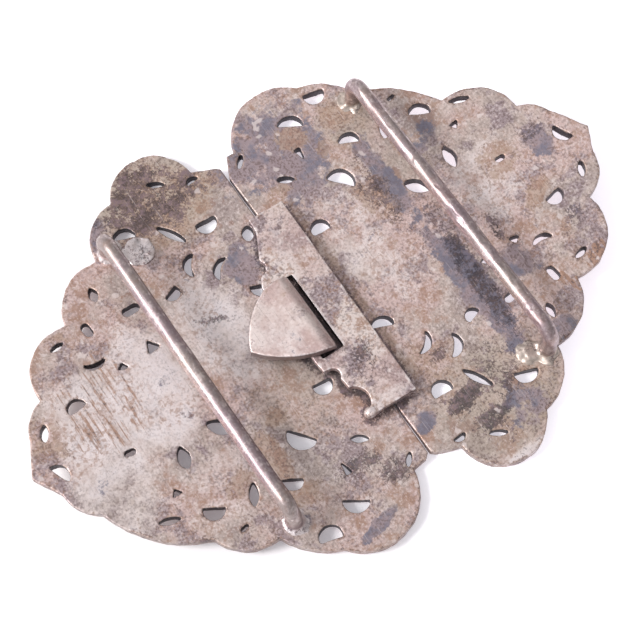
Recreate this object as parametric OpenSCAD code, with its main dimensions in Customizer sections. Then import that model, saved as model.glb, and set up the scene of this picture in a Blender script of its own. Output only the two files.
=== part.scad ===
/* [Halves] */
// Width of one half, from the joint line to its point
half_w = 42.8; // [36:0.1:56]
// Thickness of the cast silver plates
plate_t = 1.5; // [1:0.1:2.5]
// Radius to which the buckle is curved, to follow the waist
waist_r = 230; // [150:5:600]
// Gap between the two halves along the joint line
joint_gap = 0.3; // [0.2:0.05:0.8]
// Distance by which the left half sits further up the joint line
left_slip = 0.55; // [0:0.05:1]

/* [Belt bars] */
// Diameter of the wire of a belt bar
bar_d = 2.1; // [1.4:0.1:3]
// Clear height for the belt between a plate and its bar
belt_gap = 4.6; // [3:0.1:7]
// Distance of the right bar from the joint line
right_bar_x = 20.1; // [16:0.1:24]
// Distance of the left bar from the joint line
left_bar_x = 19.2; // [16:0.1:24]
// Radius of the solder round the foot of a bar
foot_r = 2.1; // [1.2:0.1:3]

/* [Clasp strip] */
// Thickness of the clasp strip
strip_t = 1.1; // [0.8:0.1:1.6]
// Space under the clasp strip
strip_lift = 0.9; // [0.7:0.1:1.5]
// Width of the slot that takes the hook
slot_w = 3.2; // [2.6:0.1:3.8]
// Length of the slot
slot_l = 11.8; // [9:0.1:14]

/* [Hook] */
// Thickness of the hook's sheet
hook_t = 1.5; // [1:0.1:1.8]
// Width of the hook where it rises through the slot
hook_w = 10.8; // [8:0.1:13]
// Space between the clasp strip and the flap of the hook
flap_gap = 0.4; // [0.2:0.05:0.8]
// Distance by which the flap's point hangs lower than its fold
flap_droop = 0.6; // [0:0.1:1]

/* [Hidden] */
$fn = 64;

// The outlines are charted in steps, so many of them from the joint line to the point
chart_w = 42.8;
step = half_w / chart_w;
silver = [0.74, 0.69, 0.66];
pale_silver = [0.84, 0.79, 0.75];

// Columns of the scallop tables, in steps: centre out from the joint line, centre away
// from the middle, radius
OUT = 0;
AWAY = 1;
ROUND = 2;
right_upper = [
    [9.7, 23.5, 7.2],
    [12.5, 19.0, 9.7],
    [14.6, 7.7, 16.8],
    [30.6, 8.4, 6.6],
    [34.9, 2.9, 5.7],
];
right_lower = [
    [9.9, 25.1, 6.0],
    [15.0, 20.8, 6.7],
    [22.5, 14.8, 6.8],
    [30.8, 9.6, 6.4],
    [36.0, 2.8, 5.2],
];
left_upper = [
    [10.1, 23.7, 7.4],
    [12.3, 19.0, 10.0],
    [22.5, 16.5, 6.3],
    [23.0, 3.6, 15.9],
    [35.0, 3.6, 5.8],
];
left_lower = [
    [9.6, 25.4, 5.8],
    [14.6, 20.9, 6.5],
    [22.2, 14.3, 7.0],
    [30.5, 9.2, 6.4],
    [35.2, 2.7, 5.7],
];
// The point between the last scallops: its shoulders and its tip
point = [[36, 0], [40.5, 4.4], [42.8, 0.1], [40.8, -4.0]];
// Columns of the plain ends beside the joint line, in steps: the run and the drop of the cut
// corner, the height at the corner, and the height where the end meets the scallops
CORNER_RUN = 0;
CORNER_DROP = 1;
AT_CORNER = 2;
AT_SCALLOP = 3;
right_end = [1.4, 2.8, 25.2, 24.9];
left_end = [0.6, 0.5, 24.6, 25.1];
lower_end = [0.6, 0.5, 24.1, 25.5];
end_run = 4.2;

// Columns of the pierced pattern, in steps: cut, centre out and up, length, width, turn
CUT = 0;
PX = 1;
PY = 2;
LONG = 3;
WIDE = 4;
TURN = 5;
pattern = [
    ["leaf", 2.6, 23.5, 2.4, 0.7, 50],
    ["moon", 11.6, 24.7, 3.6, 1.6, -33],
    ["moon", 16.2, 25.6, 2.9, 1.9, 165],
    ["leaf", 6.2, 17.8, 2.7, 1.0, -32],
    ["notch", 9.9, 19.7, 1.0, 2.1, 180],
    ["moon", 16.6, 18.1, 2.8, 1.5, -27],
    ["moon", 12.7, 13.9, 4.1, 2.0, -52],
    ["moon", 6.1, 9.7, 2.4, 1.8, -5],
    ["leaf", 20.0, 6.8, 3.8, 1.8, -52],
    ["slot", 24.5, 19.4, 1.2, 0.5, 12],
    ["moon", 26.7, 15.8, 2.9, 1.6, -30],
    ["leaf", 31.7, 13.6, 3.2, 0.9, -21],
    ["notch", 29.1, 10.9, 1.5, 1.1, 180],
    ["leaf", 25.9, 7.7, 3.4, 1.6, 79],
    ["slot", 31.1, 3.5, 1.5, 0.8, -5],
    ["moon", 39.3, 1.2, 3.1, 1.3, 113],
    ["leaf", 38.6, -4.2, 2.5, 1.0, 60],
    ["moon", 33.6, -5.5, 2.5, 1.6, 188],
    ["notch", 25.8, -6.9, 1.7, 1.0, 165],
    ["crescent", 28.7, -9.0, 3.1, 0.8, -10],
    ["slot", 27.1, -13.5, 2.1, 1.1, 93],
    ["leaf", 31.5, -13.4, 2.3, 0.8, 8],
    ["leaf", 23.8, -17.3, 2.2, 1.1, 82],
    ["moon", 6.1, -17.5, 2.7, 1.9, -3],
    ["moon", 5.2, -5.9, 3.0, 1.5, -25],
    ["crescent", 8.0, -11.5, 3.4, 0.9, 223],
    ["crescent", 11.0, -14.0, 3.3, 1.1, 238],
    ["moon", 15.1, -11.7, 2.2, 1.3, 22],
    ["moon", 4.3, -24.4, 1.8, 0.8, 184],
    ["leaf", 8.6, -26.5, 2.7, 0.9, -30],
    ["leaf", 10.8, -19.2, 4.9, 1.1, -62],
    ["moon", 16.0, -22.7, 3.2, 1.6, 160],
    ["slot", 20.9, -12.9, 2.4, 1.2, 0],
    ["leaf", 2.3, -13.7, 2.3, 1.5, 62],
    ["notch", 21.4, -7.4, 2.0, 1.8, 190],
    ["leaf", 21.3, 16.4, 3.4, 1.2, 60],
];

// A bar's feet, up and down from the middle of its half
bar_up = 22.2 * step;
bar_down = 21.3 * step;
bar_r = bar_d / 2;
bend_r = 1.1 * bar_d;
// A height over everything that stands on the plates
over_all = back_z(half_w) + belt_gap + 2 * bar_d;
foot_h = 0.8 * foot_r;
foot_lip = 0.15;
solder_sink = 0.4 * plate_t;

// Solder left beside a bar's foot: a flat patch on the left half, a mound on the right
patch_at = [15.6, -19.3] * step;
patch_r = 2.1;
patch_h = 0.25;
mound_at = [18.2, -20.3] * step;
mound_r = 1.9;
mound_h = 0.5;

// Heights of the back face, the strip and the hook's flap near the joint line
strip_z = plate_t + strip_lift;
flap_z = strip_z + strip_t + flap_gap;

// The clasp strip's outline from the middle of the right half: its right side, its foot,
// and the tab beside the slot, in steps
strip_outline = [
    [3.6, 14.8], [3.1, -16.3], [-3.6, -16.0], [-4.1, -8.1], [-5.3, -7.9],
    [-5.5, -6.3], [-5.4, 6.1], [-4.7, 7.3], [-3.6, 7.6], [-3.5, 9.5], [-1.7, 13.0], [-1.6, 15.0],
];
// Round bites out of the strip's left side: centre out, centre up, radius
bites = [
    [-4.4, -13.4, 2.1],
    [-4.5, -9.0, 0.9],
    [-4.1, 8.6, 0.8],
    [-3.9, 11.3, 0.9],
    [-2.6, 13.6, 0.9],
];
bead_at = [-3.5, -15.5] * step;
bead_r = 0.6 * step;
slot_right = -1.2 * step;
slot_mid = -0.5 * step;
spacer_w = 2.2 * step;
spacer_l = 30 * step;
spacer_inset = 0.3 * step;

// The hook: right face of its riser, its middle, and the two round sides of its flap
hook_right = -2.1 * step;
hook_mid = -0.5 * step;
flap_l = 9.6 * step;
flap_upper_at = [-2.0, -4.6] * step;
flap_upper_r = 10.4 * step;
flap_lower_at = [-0.3, 7.9] * step;
flap_lower_r = 14.4 * step;
flap_top = 5.3 * step;
hook_foot_l = 1.6 * step;
hook_foot_t = 0.5 * strip_lift;

// Height of the bent back face at a distance out from the joint line
function back_z(x) = plate_t + waist_r - sqrt(waist_r * waist_r - x * x);

// Radius of an arc from its chord and its rise
function arc_r(chord, rise) = (chord * chord / 4 + rise * rise) / (2 * rise);

// Lens between two equal arcs
module leaf(l, w) {
    r = arc_r(l, w / 2);
    intersection() {
        translate([0, w / 2 - r]) circle(r = r);
        translate([0, r - w / 2]) circle(r = r);
    }
}

// Round side up on a straight chord
module moon(l, w) {
    r = arc_r(l, w);
    translate([0, -w / 2]) intersection() {
        translate([0, w - r]) circle(r = r);
        translate([-l, 0]) square([2 * l, 2 * w]);
    }
}

// Round side up on a hollow chord
module crescent(l, w) {
    hollow = 0.5 * w;
    outer = arc_r(l, hollow + w);
    inner = arc_r(l, hollow);
    translate([0, -hollow]) difference() {
        intersection() {
            translate([0, hollow + w - outer]) circle(r = outer);
            translate([-l, 0]) square([2 * l, 2 * w]);
        }
        translate([0, hollow - inner]) circle(r = inner);
    }
}

// Straight-sided nick, point up
module notch(l, w) {
    polygon([[-l / 2, -w / 2], [l / 2, -w / 2], [0, w / 2]]);
}

// Straight slot with round ends
module slot(l, w) {
    run = l - w;
    square([run, w], center = true);
    for (side = [-1, 1]) translate([side * run / 2, 0]) circle(r = w / 2);
}

module pierced_pattern() {
    for (p = pattern) {
        translate([p[PX], p[PY]] * step) rotate(p[TURN]) {
            if (p[CUT] == "leaf") leaf(p[LONG] * step, p[WIDE] * step);
            if (p[CUT] == "moon") moon(p[LONG] * step, p[WIDE] * step);
            if (p[CUT] == "crescent") crescent(p[LONG] * step, p[WIDE] * step);
            if (p[CUT] == "notch") notch(p[LONG] * step, p[WIDE] * step);
            if (p[CUT] == "slot") slot(p[LONG] * step, p[WIDE] * step);
        }
    }
}

// Plain end of a half beside the joint line, above the middle
module plain_end(end) {
    start = joint_gap / 2;
    top = end[AT_CORNER] * step;
    polygon([
        [start, 0],
        [start, top - end[CORNER_DROP] * step],
        [start + end[CORNER_RUN] * step, top],
        [end_run * step, end[AT_SCALLOP] * step],
        [2 * end_run * step, 0],
    ]);
}

// One side of a half: its plain end, its scallops and what fills them, above the middle
module scalloped_side(scallops, end) {
    plain_end(end);
    polygon(step * concat(
        [[1, 0], [1, end[AT_CORNER] - end[CORNER_DROP]]],
        [for (s = scallops) [s[OUT], s[AWAY]]],
        [[point[0][0], 0]]
    ));
    intersection() {
        union() {
            for (s = scallops) translate([s[OUT], s[AWAY]] * step) circle(r = s[ROUND] * step);
        }
        translate([joint_gap / 2, 0]) square(half_w);
    }
}

// Outline of a half that points to the right
module half_outline(upper, lower, end) {
    scalloped_side(upper, end);
    mirror([0, 1]) scalloped_side(lower, lower_end);
    polygon(point * step);
}

// Layer between two depths of the curve that follows the waist
module waist_layer(front, back) {
    translate([0, 0, waist_r]) rotate([90, 0, 0]) difference() {
        cylinder(r = waist_r - front, h = 2 * half_w, center = true, $fn = 720);
        cylinder(r = waist_r - back, h = 2 * half_w + 2, center = true, $fn = 720);
    }
}

// Pierced plate of a half, bent to the waist, from its outline
module plate() {
    color(silver) intersection() {
        linear_extrude(height = over_all) difference() {
            children();
            pierced_pattern();
        }
        waist_layer(0, plate_t);
    }
}

// Quarter bend at a bar's end, from the leg's top up to the straight stretch
module bar_bend() {
    rotate([0, -90, 0]) rotate_extrude(angle = 90) translate([bend_r, 0]) circle(r = bar_r);
}

// Solder drawn up round a foot: a hollow-sided cone
module solder_foot() {
    rotate_extrude() difference() {
        translate([0, -solder_sink]) square([foot_r, foot_h + solder_sink]);
        translate([foot_r + foot_lip, foot_h]) circle(r = foot_h);
    }
}

// Wire bar for the belt, with a leg at each end; its solder stays on the half's outline
module belt_bar(bar_x) {
    base_z = back_z(bar_x);
    wire_z = base_z + belt_gap + bar_r;
    leg_h = wire_z - bend_r - base_z + solder_sink;
    run = bar_up + bar_down - 2 * bend_r;
    color(pale_silver) {
        translate([bar_x, bar_up - bend_r, wire_z]) rotate([90, 0, 0]) cylinder(r = bar_r, h = run);
        for (end = [[1, bar_up], [-1, bar_down]]) scale([1, end[0], 1]) translate([bar_x, end[1], 0]) {
            translate([0, 0, base_z - solder_sink]) cylinder(r = bar_r, h = leg_h);
            translate([0, -bend_r, wire_z - bend_r]) bar_bend();
        }
        intersection() {
            union() {
                translate([bar_x, bar_up, base_z]) solder_foot();
                translate([bar_x, -bar_down, base_z]) solder_foot();
            }
            linear_extrude(height = over_all) children();
        }
    }
}

// Flat patch of solder beside the left bar's foot
module solder_patch() {
    color(pale_silver) intersection() {
        translate(patch_at) cylinder(r = patch_r, h = over_all);
        waist_layer(plate_t - solder_sink, plate_t + patch_h);
    }
}

// Low mound of solder beside the right bar's foot
module solder_mound() {
    r = arc_r(2 * mound_r, mound_h);
    color(pale_silver) intersection() {
        translate([mound_at[0], mound_at[1], back_z(mound_at[0]) + mound_h - r]) sphere(r = r);
        translate(mound_at) cylinder(r = mound_r, h = over_all);
        waist_layer(plate_t - solder_sink, plate_t + 2 * mound_h);
    }
}

// Slotted strip that the hook holds, with the spacer that carries it
module clasp_strip() {
    color(silver) {
        difference() {
            translate([0, 0, strip_z]) linear_extrude(height = strip_t) difference() {
                polygon(strip_outline * step);
                for (b = bites) translate([b[0], b[1]] * step) circle(r = b[2] * step);
            }
            translate([slot_right - slot_w, slot_mid - slot_l / 2, 0]) cube([slot_w, slot_l, 2 * strip_z]);
        }
        translate([bead_at[0], bead_at[1], strip_z + strip_t / 2]) sphere(r = bead_r);
    }
    color(silver) translate([strip_outline[1][0] * step - spacer_inset - spacer_w, 0, 0])
        translate([0, strip_outline[1][1] * step + spacer_inset, plate_t - solder_sink])
            cube([spacer_w, spacer_l, strip_lift + solder_sink + strip_t / 2]);
}

// Sheet hook: foot, riser through the slot, and the flap folded back over the strip
module hook() {
    left = hook_right - hook_t;
    color(pale_silver) {
        translate([left, hook_mid - hook_w / 2, plate_t - solder_sink])
            cube([hook_t, hook_w, flap_z + hook_t / 2 - plate_t + solder_sink]);
        translate([left - hook_foot_l, hook_mid - hook_w / 2, plate_t - solder_sink])
            cube([hook_foot_l + hook_t / 2, hook_w, solder_sink + hook_foot_t]);
        intersection() {
            rotate([90, 0, 0]) linear_extrude(height = 2 * hook_w, center = true) flap_section();
            linear_extrude(height = 2 * flap_z) flap_outline();
        }
    }
}

// Side view of the flap: round fold, then the sheet falling towards its point
module flap_section() {
    fold = [hook_right - hook_t, flap_z];
    tip = [hook_right - flap_l, flap_z - flap_droop];
    polygon([
        [hook_right, flap_z], fold, tip, tip + [0, hook_t], fold + [0, hook_t],
    ]);
    intersection() {
        translate(fold) circle(r = hook_t);
        translate(fold) square(hook_t);
    }
}

// Plan of the flap: two round sides that meet at its point
module flap_outline() {
    intersection() {
        translate(flap_upper_at) circle(r = flap_upper_r, $fn = 128);
        translate(flap_lower_at) circle(r = flap_lower_r, $fn = 128);
        translate([-half_w, -half_w]) square([half_w + hook_right, half_w + flap_top]);
    }
}

module right_half() {
    translate([0, -left_slip / 2, 0]) {
        plate() half_outline(right_upper, right_lower, right_end);
        belt_bar(right_bar_x) half_outline(right_upper, right_lower, right_end);
        solder_mound();
        clasp_strip();
    }
}

module left_half() {
    rotate(180) translate([0, -left_slip / 2, 0]) {
        plate() half_outline(left_upper, left_lower, left_end);
        belt_bar(left_bar_x) half_outline(left_upper, left_lower, left_end);
        solder_patch();
    }
    translate([0, -left_slip / 2, 0]) hook();
}

left_half();
right_half();
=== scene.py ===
"""A worn silver nurse's clasp, back up on a pale table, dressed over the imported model.

Lengths here are in millimetres, in the buckle's own frame: x along the belt, y up the joint line
and z out of the back. Blender's metres come in where a mesh is made.
"""

import math

import bmesh
import bpy
import numpy as np
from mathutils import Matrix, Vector, kdtree, noise
from mathutils.bvhtree import BVHTree


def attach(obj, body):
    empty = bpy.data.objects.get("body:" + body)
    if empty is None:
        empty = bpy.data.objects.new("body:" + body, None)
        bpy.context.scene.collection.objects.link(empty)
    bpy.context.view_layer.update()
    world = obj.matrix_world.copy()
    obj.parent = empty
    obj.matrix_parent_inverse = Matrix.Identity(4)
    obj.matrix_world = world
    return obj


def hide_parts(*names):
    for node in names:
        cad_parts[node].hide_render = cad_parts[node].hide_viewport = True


MM = 0.001

# The curved plates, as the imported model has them
WAIST_R = 230.0
PLATE_T = 1.5
HALF_SLIP = 0.275

# Camera: the photograph's viewing angle
CAMERA_AZIMUTH = -34.5
CAMERA_ELEVATION = 70.0
CAMERA_DISTANCE = 196.0
CAMERA_LENS = 84.4
CAMERA_TARGET = (-1.03, -1.095, 0.0)

# Cuts: their height over the back face, how deep what stands there is pushed back in, how far from
# the joint line the clasp and the bars reach, and the slab that cuts
CUT_ABOVE = 0.02
SINK = 0.5
CLASP_REACH = 12.6
BAR_REACH = 26.0
WELD_DISTANCE = 0.0005
SLAB_HALF_X = 50.0
SLAB_HALF_Y = 40.0
SLAB_LOW = -3.0
SLAB_SECTIONS = 401

# Fine meshes: voxel size and rounds of smoothing for each kind of piece, and the most triangles
FINENESS = {"plate": (0.13, 1), "bar": (0.12, 3), "hook": (0.13, 8), "strip": (0.12, 3)}
PLATE_TRIANGLES = 190000
PART_TRIANGLES = 80000

# Columns of each unevenness: its depth and the size of its features in millimetres, and its seed
PLATE_SWELL = ((0.06, 6.0, 0.0), (0.025, 1.6, 5.0))
EDGE_WAVES_X = ((0.14, 2.6, 11.0), (0.06, 1.0, 13.0))
EDGE_WAVES_Y = ((0.14, 2.6, 17.0), (0.06, 1.0, 19.0))
SHEET_SWELL = ((0.03, 3.0, 4.0), (0.01, 0.8, 6.0))
SOLDER_LUMPS = ((0.26, 1.2, 7.0), (0.06, 0.5, 8.0))
WAVES_AT_SEAM = 0.3
SEAM_CALM = (0.5, 3)
SOLDER_TOP = 1.6
SOLDER_LOW = 0.3
NICK_DEPTH = 0.08
BEAD = (-3.5, -15.8, 2.9)
BEAD_SWELL = 0.2

# Grime and painted shade on upright walls by kind of piece, painted shade on the slot's walls and
# under the flap, and the edges made bright: rubbed silver with a painted highlight
WALL_SHADE_AND_GRIME = {"plate": 0.3, "strip": 0.35, "hook": 0.68, "bar": 0.0}
WIDEST_HOLE = 5.0
RAY_START = 0.1
SLOT_X = -2.8
SLOT_REACH = 1.9
SLOT_END = 6.9
SHADE_UNDER_FLAP = (3.9, 3.2)
RUBBED_AND_HIGHLIT_EDGE = {"strip": 0.7, "hook": 0.35}
RUBBED_AND_HIGHLIT_BRIGHT = 1.1

# Stain beside a plate's walls, painted shadow beside what stands on it, and stain on the solder of
# the left and the right bar
RIM_REACH = 0.8
RIM_BROWN = 0.5
RIM_DARK = 0.28
SHADOW_BESIDE_REACH = (1.6, 0.8)
SHADOW_BESIDE_DARK = 0.66
SOLDER_STAINS = {"dark": (0.28, 0.3), "olive": (0.3, 0.9), "pale": (1.3, 0.9)}

# Table and lights: the table glows more towards the right, between two places along x
TABLE_HALF = 3000.0
GLOW_FROM = -38
GLOW_TO = 25
GLOW = (0.04, 0.6)
ROOM_BRIGHT_SIDE = (-0.75, 0.35, 0.56)
KEY_AT = (-300, 100, 300)
KEY_SIZE = 150
KEY_POWER = 1.5

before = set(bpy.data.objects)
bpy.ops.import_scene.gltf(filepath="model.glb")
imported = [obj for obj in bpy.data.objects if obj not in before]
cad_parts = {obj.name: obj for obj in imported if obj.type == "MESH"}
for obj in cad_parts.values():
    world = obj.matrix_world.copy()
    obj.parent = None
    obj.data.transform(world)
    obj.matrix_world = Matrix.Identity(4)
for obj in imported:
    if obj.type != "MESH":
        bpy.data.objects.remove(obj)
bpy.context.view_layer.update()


def back_height(x):
    """Height of the plates' bent back face."""
    return PLATE_T + WAIST_R - np.sqrt(WAIST_R**2 - x**2)


def make_camera():
    a, e = math.radians(CAMERA_AZIMUTH), math.radians(CAMERA_ELEVATION)
    back = Vector((math.sin(a) * math.cos(e), -math.cos(a) * math.cos(e), math.sin(e)))
    data = bpy.data.cameras.new("camera")
    data.lens = CAMERA_LENS
    data.clip_start = 0.01
    cam = bpy.data.objects.new("camera", data)
    cam.location = (Vector(CAMERA_TARGET) + back * CAMERA_DISTANCE) * MM
    cam.rotation_mode = "QUATERNION"
    cam.rotation_quaternion = (-back).to_track_quat("-Z", "Y")
    bpy.context.scene.collection.objects.link(cam)
    bpy.context.scene.camera = cam


make_camera()


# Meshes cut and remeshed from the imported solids


def link(name, mesh):
    piece = bpy.data.objects.new(name, mesh)
    bpy.context.scene.collection.objects.link(piece)
    return piece


def with_modifier(piece, kind, **settings):
    """Applies one modifier to the piece's mesh."""
    modifier = piece.modifiers.new(kind, kind)
    for key, value in settings.items():
        setattr(modifier, key, value)
    depsgraph = bpy.context.evaluated_depsgraph_get()
    mesh = bpy.data.meshes.new_from_object(piece.evaluated_get(depsgraph))
    piece.modifiers.clear()
    piece.data = mesh
    return piece


def welded_copy(node, name):
    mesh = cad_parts[node].data.copy()
    mesh.materials.clear()
    work = bmesh.new()
    work.from_mesh(mesh)
    bmesh.ops.remove_doubles(work, verts=work.verts, dist=WELD_DISTANCE * MM)
    work.to_mesh(mesh)
    work.free()
    return link(name, mesh)


def waist_slab(above):
    """Closed slab under the bent back face, its top raised by a small distance."""
    section = [
        (x, back_height(x) + above) for x in np.linspace(-SLAB_HALF_X, SLAB_HALF_X, SLAB_SECTIONS)
    ]
    section += [(SLAB_HALF_X, SLAB_LOW), (-SLAB_HALF_X, SLAB_LOW)]
    count = len(section)
    ends = (-SLAB_HALF_Y, SLAB_HALF_Y)
    verts = [(x * MM, y * MM, z * MM) for y in ends for x, z in section]
    faces = [
        (i, (i + 1) % count, count + (i + 1) % count, count + i) for i in range(count)
    ]
    faces += [tuple(range(count))[::-1], tuple(range(count, 2 * count))]
    mesh = bpy.data.meshes.new("slab")
    mesh.from_pydata(verts, [], faces)
    work = bmesh.new()
    work.from_mesh(mesh)
    bmesh.ops.recalc_face_normals(work, faces=work.faces)
    work.to_mesh(mesh)
    work.free()
    return link("slab", mesh)


def cut(piece, operation, above):
    """Keeps what lies in the slab, or what stands on it."""
    slab = waist_slab(above)
    with_modifier(piece, "BOOLEAN", operation=operation, object=slab, solver="EXACT")
    bpy.data.objects.remove(slab)
    return piece


def sunk(piece):
    """Pushes the cut feet of what stands on the plates down into them."""
    at = points(piece.data)
    at[at[:, 2] - back_height(at[:, 0]) < 2 * CUT_ABOVE, 2] -= SINK
    set_points(piece.data, at)
    return piece


def clasp_and_bar(piece):
    """Splits what stands on a plate into the clasp's part, near the joint line, and the bar's.

    Past the bar lies only a sliver that the cut leaves at the plate's tip, which is dropped.
    """
    meshes = []
    for near, far in ((0.0, CLASP_REACH), (CLASP_REACH, BAR_REACH)):
        work = bmesh.new()
        work.from_mesh(piece.data)
        gone = [v for v in work.verts if not near <= abs(v.co.x) / MM < far]
        bmesh.ops.delete(work, geom=gone, context="VERTS")
        mesh = bpy.data.meshes.new("part")
        work.to_mesh(mesh)
        work.free()
        meshes.append(mesh)
    bpy.data.objects.remove(piece)
    return meshes


def points(mesh):
    flat = np.empty(len(mesh.vertices) * 3)
    mesh.vertices.foreach_get("co", flat)
    return flat.reshape(-1, 3) / MM


def normals(mesh):
    flat = np.empty(len(mesh.vertices) * 3)
    mesh.vertex_normals.foreach_get("vector", flat)
    return flat.reshape(-1, 3)


def set_points(mesh, at):
    mesh.vertices.foreach_set("co", (at * MM).ravel())
    mesh.update()


plates = {}
standing = {}
for side in ("left", "right"):
    node = side + "_half"
    plates[side] = cut(welded_copy(node, side + "_plate"), "INTERSECT", 1.5 * CUT_ABOVE)
    standing[side] = clasp_and_bar(
        sunk(cut(welded_copy(node, side + "_standing"), "DIFFERENCE", CUT_ABOVE))
    )
hook_mesh, left_bar_mesh = standing["left"]
strip_mesh, right_bar_mesh = standing["right"]


# Wear and painted light: noise, dents, stains, painted shade and painted sheen are worked out at
# each point of a piece's fine mesh


def rough(at, scale, seed=0.0, stretch=(1, 1, 1)):
    """Smooth noise from -1 to 1 with features of about that many millimetres."""
    q = at / (np.array(stretch) * scale) + seed
    return np.array([noise.noise(Vector(row)) for row in q])


def blob(at, x, y, long, wide, turn):
    """Distance from a spot's centre, where 1 is its edge."""
    t = math.radians(turn)
    dx, dy = at[:, 0] - x, at[:, 1] - y
    along = dx * math.cos(t) + dy * math.sin(t)
    across = dy * math.cos(t) - dx * math.sin(t)
    return np.hypot(along / long, across / wide)


def smooth(low, high, value):
    t = np.clip((value - low) / (high - low), 0, 1)
    return t * t * (3 - 2 * t)


def uneven(at, layers, seed=0.0):
    """The layers of one unevenness added up."""
    return sum(depth * rough(at, size, seed + own) for depth, size, own in layers)


def fine_mesh(mesh, name, kind):
    """Even fine mesh with softly rounded edges, ready for its wear."""
    voxel, rounding = FINENESS[kind]
    piece = link(name, mesh)
    with_modifier(piece, "REMESH", mode="VOXEL", voxel_size=voxel * MM, use_smooth_shade=True)
    with_modifier(piece, "SMOOTH", factor=0.5, iterations=rounding)
    return piece


def thinned(piece, most):
    """Brings the piece under a number of triangles, where it bends least first."""
    share = most / (2 * len(piece.data.polygons))
    if share < 1:
        with_modifier(piece, "DECIMATE", ratio=share)
    piece.data.shade_smooth()
    return piece


def set_share(mesh, name, values):
    layer = mesh.attributes.new(name, "FLOAT", "POINT")
    layer.data.foreach_set("value", np.clip(values, 0, 1).astype(np.float32))


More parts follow.
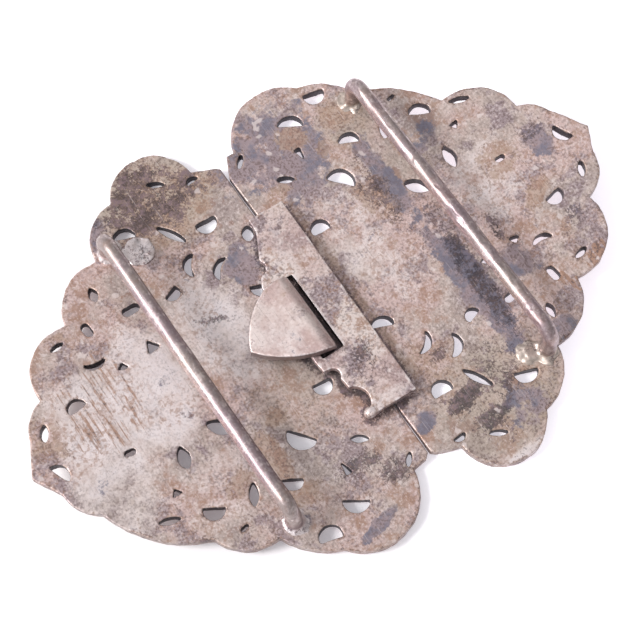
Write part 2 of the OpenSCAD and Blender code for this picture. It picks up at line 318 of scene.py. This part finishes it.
# Columns of the stain table: the stain, the kind of piece it lies on, then in millimetres and
# degrees its centre, half length, half width and turn, and its strength
STAINS = [
    ("blue", "plate", 7.0, 22.0, 9.0, 8.0, -20, 0.84),
    ("blue", "plate", 24.3, 12.0, 2.6, 1.7, 30, 0.7),
    ("blue", "plate", 24.5, -9.5, 2.8, 2.2, -50, 0.75),
    ("blue", "plate", 23.3, -20.8, 2.7, 1.8, 30, 0.92),
    ("blue", "plate", 14.0, -25.5, 3.4, 2.6, 60, 0.75),
    ("blue", "plate", 1.7, -20.0, 2.0, 1.5, 40, 0.72),
    ("blue", "plate", 17.2, 7.5, 12.0, 1.6, 90, 0.75),
    ("blue", "plate", 17.8, -10.0, 10.5, 2.4, 90, 1.1),
    ("blue", "plate", 36.5, 2.4, 2.8, 1.9, 90, 0.75),
    ("blue", "plate", 36.0, -8.0, 2.2, 1.6, 20, 0.6),
    ("blue", "plate", -19.0, 25.0, 3.0, 1.8, 60, 0.75),
    ("blue", "plate", -5.5, 10.5, 3.0, 3.4, 0, 0.68),
    ("blue", "plate", -10.4, -27.6, 3.3, 0.95, 12, 0.95),
    ("blue", "plate", -17.3, -20.8, 1.5, 2.4, -20, 0.6),
    ("blue", "plate", -36.0, -8.0, 4.0, 1.2, 90, 0.5),
    ("brown", "plate", 10.2, 22.4, 2.4, 2.2, 0, 0.85),
    ("brown", "plate", 4.0, 16.6, 2.6, 1.6, 20, 0.8),
    ("brown", "plate", 17.0, 22.0, 3.4, 2.8, 0, 0.68),
    ("brown", "plate", 13.4, 18.6, 2.2, 1.6, 30, 0.6),
    ("brown", "plate", 30.6, 3.1, 3.6, 3.0, 0, 0.72),
    ("brown", "plate", 32.0, -3.2, 3.0, 1.5, 40, 0.85),
    ("streak", "plate", 28.2, -15.8, 3.4, 0.9, -60, 1.45),
    ("streak", "plate", 33.0, -14.8, 2.6, 1.3, 25, 1.35),
    ("brown", "plate", 16.5, -22.5, 3.4, 2.0, 10, 0.7),
    ("brown", "plate", -10.0, 24.5, 9.5, 6.5, 0, 0.78),
    ("brown", "plate", -39.0, 4.0, 2.6, 3.6, 0, 0.66),
    ("dark", "plate", -11.0, 25.5, 9.0, 5.5, 0, 0.67),
    ("dark", "plate", 13.0, -21.0, 9.0, 8.0, 0, 0.34),
    ("brown", "plate", 7.5, -14.0, 5.0, 4.5, 0, 0.66),
    ("brown", "plate", -5.2, 21.0, 1.4, 1.3, 0, 1.0),
    ("brown", "plate", -13.5, -9.0, 1.5, 1.5, 0, 0.8),
    ("brown", "plate", -22.0, -14.0, 3.0, 2.2, 0, 0.66),
    ("brown", "plate", -16.5, -19.0, 3.4, 3.0, 0, 0.66),
    ("brown", "plate", -16.6, -13.4, 2.0, 3.8, 0, 0.8),
    ("brown", "plate", -31.0, 16.0, 5.0, 3.0, -40, 0.5),
    ("dark", "plate", 18.7, -8.5, 10.5, 1.6, 88, 0.8),
    ("dark", "plate", 19.2, 2.0, 4.0, 1.5, 90, 0.55),
    ("dark", "plate", 15.4, 8.0, 11.0, 2.2, 95, 0.38),
    ("brown", "plate", 14.6, 10.0, 9.0, 2.6, 95, 0.55),
    # Grime and painted shadow of the strip, along its right edge on the right plate
    ("brown", "plate", 4.4, 0.0, 22.0, 1.3, 90, 0.55),
    ("dark", "plate", 8.5, -13.8, 1.8, 1.1, 20, 0.6),
    ("dark", "plate", 8.0, -20.5, 3.4, 1.5, 10, 0.72),
    ("dark", "plate", 9.0, -24.6, 3.2, 1.5, 0, 0.72),
    ("dark", "plate", 36.5, 4.0, 1.9, 1.4, 0, 0.5),
    ("dark", "plate", 24.7, -3.9, 2.6, 0.7, 85, 0.55),
    ("dark", "plate", 34.6, -8.6, 2.2, 1.6, 20, 0.5),
    ("dark", "plate", -7.5, 22.0, 2.6, 1.4, 30, 0.6),
    ("dark", "plate", -13.0, 6.5, 3.2, 0.6, -27, 0.44),
    ("dark", "plate", -8.0, -20.0, 3.6, 2.2, 0, 0.46),
    ("dark", "plate", -5.0, -23.0, 2.6, 2.0, 0, 0.5),
    ("dark", "strip", -0.5, -9.5, 3.4, 2.0, 60, 0.6),
    ("pale", "plate", 28.0, 2.0, 7.0, 6.0, 90, 0.8),
    ("pale", "plate", 10.0, 3.0, 6.0, 12.0, 0, 0.65),
    # Broad pale patches on the left plate: paler silver, and painted light where it catches a brighter
    # reflection
    ("pale", "plate", -13.0, 5.0, 6.0, 10.0, 0, 0.95),
    ("pale", "plate", -32.0, 1.0, 8.0, 11.0, 0, 0.95),
    ("pale", "plate", -24.0, -13.0, 9.0, 6.0, 0, 0.65),
    ("pale", "plate", -36.0, -7.0, 6.0, 8.0, 0, 0.88),
    ("pale", "plate", -11.5, -17.5, 6.0, 5.0, 0, 0.5),
    ("brown", "plate", 32.0, -20.0, 9.0, 12.0, 0, 0.36),
    ("brown", "plate", -30.0, -14.0, 14.0, 9.0, 0, 0.28),
    # Painted sheen: a bright bluish reflection on the left plate, beside its bar
    ("pale", "plate", -24.5, 2.5, 11.0, 5.5, 80, 1.15),
    ("pale", "plate", -14.0, 24.6, 1.2, 0.9, 0, 1.0),
    ("pale", "plate", -28.5, -1.5, 2.2, 1.9, 0, 1.0),
    ("pale", "strip", -0.5, -15.0, 4.0, 1.2, 0, 0.7),
    ("pale", "strip", 0.0, 7.0, 3.0, 8.0, 0, 0.6),
    ("pale", "strip", -3.5, -15.5, 1.1, 1.1, 0, 1.2),
    ("pale", "hook", -8.5, -1.0, 5.0, 6.0, 0, 0.6),
    ("brown", "hook", -4.0, 4.5, 3.0, 1.6, -30, 0.4),
    ("pale", "plate", 9.5, -31.0, 6.0, 1.3, 5, 1.1),
    ("olive", "plate", 12.0, -23.0, 12.0, 10.0, 0, 0.75),
    ("olive", "plate", -10.0, 25.0, 10.0, 8.0, 0, 0.9),
    ("olive", "plate", 17.5, 20.0, 5.0, 5.0, 0, 0.8),
    ("olive", "plate", 20.0, 10.0, 5.0, 5.0, 0, 0.6),
    ("olive", "plate", -9.0, -8.0, 8.0, 8.0, 0, 0.6),
    ("olive", "plate", -36.0, -8.0, 6.0, 8.0, 0, 0.4),
    ("streak", "plate", -31.0, 4.0, 9.0, 7.0, 90, 0.86),
    ("streak", "plate", -24.0, -9.0, 6.0, 4.0, 90, 0.5),
]


def stained(at, stain, kind):
    """Share of a stain at each point: the strongest of its spots on that kind of piece."""
    share = np.zeros(len(at))
    for name, on, x, y, long, wide, turn, strength in STAINS:
        if (name, on) == (stain, kind):
            near = 1.0 - blob(at, x, y - HALF_SLIP, long, wide, turn)
            share = np.maximum(share, strength * smooth(-0.5, 0.6, near))
    return share


def nearness(at, sources, far, close=0.0):
    """1 within the close distance of the sources, falling to 0 at the far one."""
    tree = kdtree.KDTree(len(sources))
    for i, source in enumerate(sources):
        tree.insert(source, i)
    tree.balance()
    return smooth(far, close, np.array([tree.find(row)[2] for row in at]))


def faces_across(piece, upright):
    """Whether each upright place looks across a hole, not out from the edge of its plate."""
    at = points(piece.data)
    facing = normals(piece.data) * (1, 1, 0)
    tree = BVHTree.FromObject(piece, bpy.context.evaluated_depsgraph_get())
    across = np.zeros(len(at))
    for i in np.flatnonzero(upright > 0.01):
        way = Vector(facing[i]).normalized()
        start = (Vector(at[i]) + RAY_START * way) * MM
        across[i] = tree.ray_cast(start, way, WIDEST_HOLE * MM)[0] is not None
    return across


def add_plate_grime_and_shade(share, piece, at, upright, neighbours):
    """Painted shade and grime in the holes, grime along every edge, painted shadow beside the
    neighbours.
    """
    in_holes = upright * faces_across(piece, upright)
    share["wall"] += (1 - WALL_SHADE_AND_GRIME["plate"]) * in_holes
    rim = nearness(at, at[upright > 0.5], RIM_REACH)
    near_points = np.concatenate([points(other.data) for other in neighbours])
    shadow_beside = nearness(at, near_points, *SHADOW_BESIDE_REACH)
    share["brown"] = np.maximum(share["brown"], RIM_BROWN * rim)
    share["dark"] = np.maximum(share["dark"], np.maximum(RIM_DARK * rim, SHADOW_BESIDE_DARK * shadow_beside))


def add_solder_stains(share, at):
    low = solder_nearness(at)
    for stain, (on_left, on_right) in SOLDER_STAINS.items():
        share[stain] = np.where(at[:, 0] > 0, on_right, on_left) * low


def add_clasp_shade_and_wear(share, kind, at, upright):
    """Painted shade in the slot and under the flap; edges rubbed bright, with a painted highlight."""
    in_slot = (np.abs(at[:, 0] - SLOT_X) < SLOT_REACH) & (np.abs(at[:, 1]) < SLOT_END)
    hidden_shade = upright * in_slot if kind == "strip" else smooth(*SHADE_UNDER_FLAP, at[:, 2])
    share["wall"] = np.maximum(share["wall"], hidden_shade)
    corners = at[(upright > 0.05) & (upright < 0.8)]
    rubbed_and_highlit = RUBBED_AND_HIGHLIT_BRIGHT * nearness(at, corners, RUBBED_AND_HIGHLIT_EDGE[kind])
    share["pale"] = np.maximum(share["pale"], rubbed_and_highlit)


def give_shares(piece, kind, neighbours=()):
    """Stores the shares of stain, painted light and shaded, grimy wall that the silver's material
    reads.
    """
    mesh = piece.data
    at = points(mesh)
    stains = ("blue", "brown", "dark", "pale", "olive", "streak")
    share = {stain: stained(at, stain, kind) for stain in stains}
    upright = smooth(0.75, 0.35, np.abs(normals(mesh)[:, 2]))
    share["wall"] = WALL_SHADE_AND_GRIME[kind] * upright
    if kind == "plate":
        add_plate_grime_and_shade(share, piece, at, upright, neighbours)
    elif kind == "bar":
        add_solder_stains(share, at)
    else:
        add_clasp_shade_and_wear(share, kind, at, upright)
    for name, values in share.items():
        set_share(mesh, name, values)


def dress_plate(side, seed, neighbours):
    """A plate's fine mesh, its faces uneven and its edges waved, with its shares of stain and painted
    light.
    """
    plate = fine_mesh(plates[side].data, side + "_plate_silver", "plate")
    bpy.data.objects.remove(plates[side])
    mesh = plate.data
    at = points(mesh)
    at += normals(mesh) * uneven(at, PLATE_SWELL, seed)[:, None]
    off_seam = WAVES_AT_SEAM + (1 - WAVES_AT_SEAM) * smooth(*SEAM_CALM, np.abs(at[:, 0]))
    at[:, 0] += off_seam * uneven(at, EDGE_WAVES_X, seed)
    at[:, 1] += off_seam * uneven(at, EDGE_WAVES_Y, seed)
    at[:, 2] = np.maximum(at[:, 2], 0)
    set_points(mesh, at)
    thinned(plate, PLATE_TRIANGLES)
    give_shares(plate, "plate", neighbours)
    return plate


def dress_part(mesh, name, kind, lift_of):
    """The fine mesh of what stands on a plate, with its wear and its shares of stain and painted
    light.
    """
    piece = fine_mesh(mesh, name, kind)
    at = points(piece.data)
    at += normals(piece.data) * lift_of(at)[:, None]
    set_points(piece.data, at)
    thinned(piece, PART_TRIANGLES)
    give_shares(piece, kind)
    return piece


def solder_nearness(at):
    """1 low on the plate, where a bar's solder lies, falling to 0 up its legs."""
    return smooth(SOLDER_TOP, SOLDER_LOW, at[:, 2] - back_height(at[:, 0]))


def bar_lift(at):
    """Drawn wire, a little uneven, on rougher solder."""
    wire = 0.04 * rough(at, 0.7, 2.0, (1, 5, 1)) + 0.05 * rough(at, 3.0, 9.0)
    return wire + solder_nearness(at) * uneven(at, SOLDER_LUMPS)


def nicked_bar_lift(at):
    nicks = smooth(0.15, 0.5, rough(at, 0.9, 31.0, (1, 2, 1)))
    return bar_lift(at) - NICK_DEPTH * nicks


def strip_lift(at):
    """Slightly uneven, with a swollen bead at its lower corner."""
    bead = np.linalg.norm(at - BEAD, axis=1)
    return sheet_lift(at) + BEAD_SWELL * smooth(1.2, 0.5, bead)


def sheet_lift(at):
    return uneven(at, SHEET_SWELL)


left_bar = dress_part(left_bar_mesh, "left_belt_bar", "bar", bar_lift)
right_bar = dress_part(right_bar_mesh, "right_belt_bar", "bar", nicked_bar_lift)
hook = dress_part(hook_mesh, "hook_and_flap", "hook", sheet_lift)
strip = dress_part(strip_mesh, "clasp_strip", "strip", strip_lift)
left_plate = dress_plate("left", 20.0, (hook, strip))
right_plate = dress_plate("right", 50.0, (hook, strip))


# Silver


class Nodes:
    """Short names for building a node tree."""

    def __init__(self, tree):
        self.tree = tree

    def add(self, kind, inputs=(), **settings):
        node = self.tree.nodes.new("ShaderNode" + kind)
        for key, value in settings.items():
            setattr(node, key, value)
        for key, value in dict(inputs).items():
            socket = node.inputs[key]
            if isinstance(value, bpy.types.NodeSocket):
                self.tree.links.new(value, socket)
            else:
                socket.default_value = value
        return node

    def share(self, name):
        return self.add("Attribute", attribute_name=name).outputs["Fac"]

    def noise(self, where, size, detail=4.0, roughness=0.55, seed=0.0):
        """Noise with features of that many millimetres, from 0 to 1."""
        inputs = {
            "Vector": where, "W": seed, "Scale": 1 / (size * MM), "Detail": detail,
            "Roughness": roughness,
        }
        return self.add("TexNoise", inputs, noise_dimensions="4D").outputs["Fac"]

    def drawn_out(self, where, stretch, turn=0.0):
        """The same place, stretched so that noise there turns into streaks along y."""
        inputs = {"Vector": where, "Rotation": (0, 0, turn), "Scale": (1, 1 / stretch, 1)}
        return self.add("Mapping", inputs).outputs["Vector"]

    def centred(self, value, gain):
        """Noise about zero."""
        return self.math("MULTIPLY", self.math("SUBTRACT", value, 0.5), gain)

    def ramp(self, value, low, high, to_low=0.0, to_high=1.0):
        inputs = {
            "Value": value, "From Min": low, "From Max": high,
            "To Min": to_low, "To Max": to_high,
        }
        return self.add("MapRange", inputs, interpolation_type="SMOOTHSTEP").outputs["Result"]

    def math(self, operation, a, b=0.0, clamp=False):
        return self.add("Math", {0: a, 1: b}, operation=operation, use_clamp=clamp).outputs[0]

    def mix(self, share, a, b, blend="MIX"):
        node = self.add("Mix", {0: share, 6: a, 7: b}, data_type="RGBA", blend_type=blend)
        return node.outputs[2]


# Colours of the silver and of what has settled on it, and of painted sheen and shade
BRIGHT = (0.82, 0.72, 0.70, 1)
# Bluish white of the pale places and of the painted sheen
PALE_AND_SHEEN_WHITE = (0.88, 0.81, 0.825, 1)
CREAM = (0.79, 0.68, 0.64, 1)
ROSE = (0.64, 0.48, 0.455, 1)
SAND = (0.56, 0.465, 0.42, 1)
WIRE = (0.39, 0.325, 0.31, 1)
MAUVE = (0.36, 0.28, 0.30, 1)
RUST = (0.40, 0.235, 0.165, 1)
TAN = (0.50, 0.36, 0.285, 1)
OLIVE = (0.49, 0.405, 0.32, 1)
UMBER = (0.16, 0.11, 0.10, 1)
DUSK = (0.20, 0.135, 0.165, 1)
SLATE = (0.19, 0.185, 0.245, 1)
# Dark of stains, also used for painted shade on walls, in the slot and under the flap
SOOT_AND_SHADE = (0.04, 0.035, 0.045, 1)


def silver(name, grime, grain, tints, gloss, metal):
    """Tarnished silver: its share of grime, depth of grain, two main colours, roughness, metal."""
    material = bpy.data.materials.new(name)
    material.use_nodes = True
    tree = material.node_tree
    tree.nodes.clear()
    n = Nodes(tree)
    where = n.add("TexCoord").outputs["Object"]
    broad = n.noise(where, 8.0, 3.0, seed=1.0)
    cloudy = n.noise(where, 4.5, 9.0, 0.66, seed=2.0)
    ragged = n.noise(where, 3.4, 9.0, 0.66, seed=3.0)
    fine = n.noise(where, 0.9, 6.0, 0.75, seed=4.0)
    speck = n.noise(where, 0.34, 3.0, 0.6, seed=5.0)
    grit = n.noise(where, 0.6, 5.0, 0.7, seed=8.0)
    scratch = n.noise(n.drawn_out(where, 30, 0.1), 0.14, 3.0, 0.6, seed=6.0)
    streaky = n.noise(n.drawn_out(where, 16), 0.42, 6.0, 0.7, seed=7.0)
    vein = n.noise(where, 1.1, 3.0, 0.6, seed=9.0)
    vein = n.ramp(n.math("ABSOLUTE", n.centred(vein, 1.0)), 0.03, 0.0)
    speckled = 0.25 + 0.75 * grime

    # Silver with clouds of mauve and rust, and pale places: worn silver, painted sheen and painted
    # light
    colour = n.mix(n.ramp(broad, 0.4, 0.6), *tints)
    colour = n.mix(n.ramp(cloudy, 0.51, 0.57, 0.0, 0.85 * grime), colour, MAUVE)
    colour = n.mix(n.ramp(cloudy, 0.46, 0.4, 0.0, 0.65 * grime), colour, RUST)
    colour = n.mix(n.ramp(broad, 0.52, 0.66, 0.0, 0.35 * grime), colour, DUSK)
    colour = n.mix(n.ramp(fine, 0.52, 0.6, 0.0, 0.4), colour, BRIGHT)
    worn_and_sheen = n.math("ADD", n.centred(ragged, 1.8), n.centred(fine, 1.0))
    worn_and_sheen = n.ramp(n.math("ADD", n.share("pale"), worn_and_sheen), 0.4, 0.95)
    pale_and_sheen_level = n.math("ADD", n.share("pale"), n.centred(ragged, 1.4))
    pale = n.mix(n.ramp(pale_and_sheen_level, 0.75, 1.2), BRIGHT, PALE_AND_SHEEN_WHITE)
    colour = n.mix(n.math("MULTIPLY", worn_and_sheen, 0.85), colour, pale)

    ruddy = n.ramp(broad, 0.54, 0.46, 0.1, 0.55 * grime)
    red = n.math("MULTIPLY", n.ramp(grit, 0.5, 0.58), ruddy)
    colour = n.mix(red, colour, RUST)

    # Bright specks, and a cast of olive
    colour = n.mix(n.ramp(speck, 0.44, 0.34, 0.0, 0.5 * speckled), colour, BRIGHT)
    level = n.math("ADD", n.share("olive"), n.centred(cloudy, 1.5))
    colour = n.mix(n.ramp(level, 0.3, 0.9, 0.0, 0.6), colour, OLIVE)

    # Stains with ragged edges, the dark one also painted shadow beside the clasp, and streaks
    edge = n.math("ADD", n.centred(ragged, 1.8), n.centred(fine, 1.5))
    edge = n.math("ADD", edge, n.centred(speck, 0.8))
    blue = n.mix(n.ramp(cloudy, 0.44, 0.56), SLATE, MAUVE)
    brown = n.mix(n.ramp(fine, 0.42, 0.56), RUST, TAN)
    dusky = n.mix(n.ramp(speck, 0.48, 0.6, 0.0, 0.5), DUSK, TAN)
    dark = n.mix(n.ramp(fine, 0.45, 0.6), SOOT_AND_SHADE, n.mix(n.share("blue"), dusky, SLATE))
    crackled = n.math("ADD", edge, n.math("MULTIPLY", vein, 0.25))
    soft = n.math("ADD", n.centred(ragged, 3.0), n.centred(fine, 1.1))
    for share, stain, most, border in (
        ("blue", blue, 0.9, soft), ("brown", brown, 0.75, edge), ("dark", dark, 0.84, crackled)
    ):
        level = n.math("ADD", n.share(share), border)
        colour = n.mix(n.ramp(level, 0.38, 0.66, 0.0, most), colour, stain)
    level = n.math("ADD", n.centred(streaky, 2.8), n.centred(fine, 1.2))
    level = n.math("ADD", n.share("streak"), level)
    rusty = n.mix(n.ramp(speck, 0.52, 0.66), RUST, UMBER)
    colour = n.mix(n.ramp(level, 0.84, 1.12, 0.0, 0.85), colour, rusty)

    # Fine specks and scratches over all of it
    dots = n.math("MULTIPLY", n.ramp(speck, 0.5, 0.6), n.ramp(cloudy, 0.4, 0.6, 0.3, 0.9))
    dots = n.math("MULTIPLY", dots, n.ramp(worn_and_sheen, 0.0, 1.0, 0.7 * speckled, 0.35 * speckled))
    colour = n.mix(dots, colour, UMBER)
    colour = n.mix(n.ramp(scratch, 0.6, 0.72, 0.0, 0.4), colour, BRIGHT)
    colour = n.mix(n.ramp(scratch, 0.4, 0.28, 0.0, 0.4), colour, UMBER)
    pointed = n.add("NewGeometry").outputs["Pointiness"]
    colour = n.mix(n.ramp(pointed, 0.53, 0.6, 0.0, 0.6), colour, BRIGHT)
    colour = n.mix(n.ramp(pointed, 0.48, 0.42, 0.0, 0.6), colour, UMBER)
    # Painted shade, with some grime, on upright walls, in the holes and the slot and under the flap
    colour = n.mix(n.math("MULTIPLY", n.share("wall"), 0.92), colour, SOOT_AND_SHADE)

    roughness = n.ramp(fine, 0.35, 0.65, gloss, gloss + 0.15)
    height = n.math("ADD", fine, n.math("MULTIPLY", speck, 0.4))
    bump = n.add("Bump", {"Strength": 0.5, "Distance": grain * MM, "Height": height})
    shader = n.add(
        "BsdfPrincipled",
        {
            "Base Color": colour, "Metallic": metal, "Roughness": roughness,
            "Normal": bump.outputs["Normal"],
        },
    )
    n.add("OutputMaterial", {"Surface": shader.outputs[0]})
    return material


plate_silver = silver("plate_silver", grime=1.0, grain=0.08, tints=(ROSE, SAND), gloss=0.42, metal=0.6)
wire_silver = silver("wire_silver", grime=0.3, grain=0.03, tints=(WIRE, MAUVE), gloss=0.36, metal=0.85)
strip_silver = silver("strip_silver", grime=1.1, grain=0.05, tints=(CREAM, ROSE), gloss=0.4, metal=0.6)
hook_silver = silver("hook_silver", grime=0.2, grain=0.03, tints=(CREAM, ROSE), gloss=0.34, metal=0.75)
for piece, material in (
    (left_plate, plate_silver),
    (right_plate, plate_silver),
    (left_bar, wire_silver),
    (right_bar, wire_silver),
    (hook, hook_silver),
    (strip, strip_silver),
):
    piece.data.materials.clear()
    piece.data.materials.append(material)
    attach(piece, "root")
for piece in (left_plate, left_bar, hook):
    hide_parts("left_half")
for piece in (right_plate, right_bar, strip):
    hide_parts("right_half")


# Table and lights


def make_table():
    half = TABLE_HALF
    corners = [(-half, -half), (half, -half), (half, half), (-half, half)]
    mesh = bpy.data.meshes.new("table")
    mesh.from_pydata([(x * MM, y * MM, 0) for x, y in corners], [], [(0, 1, 2, 3)])
    table = link("table", mesh)
    material = bpy.data.materials.new("white_table")
    material.use_nodes = True
    n = Nodes(material.node_tree)
    along = n.add("SeparateXYZ", {0: n.add("TexCoord").outputs["Object"]}).outputs["X"]
    glow = n.ramp(along, GLOW_FROM * MM, GLOW_TO * MM, *GLOW)
    shader = material.node_tree.nodes["Principled BSDF"]
    shader.inputs["Base Color"].default_value = (0.9, 0.89, 0.9, 1)
    shader.inputs["Roughness"].default_value = 0.9
    shader.inputs["Specular IOR Level"].default_value = 0.0
    shader.inputs["Emission Color"].default_value = (0.93, 0.9, 1.0, 1)
    material.node_tree.links.new(glow, shader.inputs["Emission Strength"])
    mesh.materials.append(material)


def area_light(name, at, size, power):
    """A round lamp at a place, turned to the buckle's middle."""
    data = bpy.data.lights.new(name, "AREA")
    data.shape = "DISK"
    data.size = size * MM
    data.energy = power
    lamp = bpy.data.objects.new(name, data)
    lamp.location = Vector(at) * MM
    lamp.rotation_mode = "QUATERNION"
    lamp.rotation_quaternion = (-Vector(at)).to_track_quat("-Z", "Y")
    bpy.context.scene.collection.objects.link(lamp)


def make_light():
    """A pale room, brightest up and to the left, and a wide lamp there."""
    world = bpy.data.worlds.new("studio")
    world.use_nodes = True
    n = Nodes(world.node_tree)
    way = n.add("TexCoord").outputs["Generated"]
    toward = n.add("VectorMath", {0: way, 1: ROOM_BRIGHT_SIDE}, operation="DOT_PRODUCT")
    strength = n.ramp(toward.outputs["Value"], -0.5, 0.9, 0.3, 0.86)
    back = world.node_tree.nodes["Background"]
    back.inputs["Color"].default_value = (1.0, 0.985, 1.0, 1)
    world.node_tree.links.new(strength, back.inputs["Strength"])
    bpy.context.scene.world = world
    area_light("key", KEY_AT, KEY_SIZE, KEY_POWER)
    bpy.context.scene.view_settings.view_transform = "Standard"


make_table()
make_light()
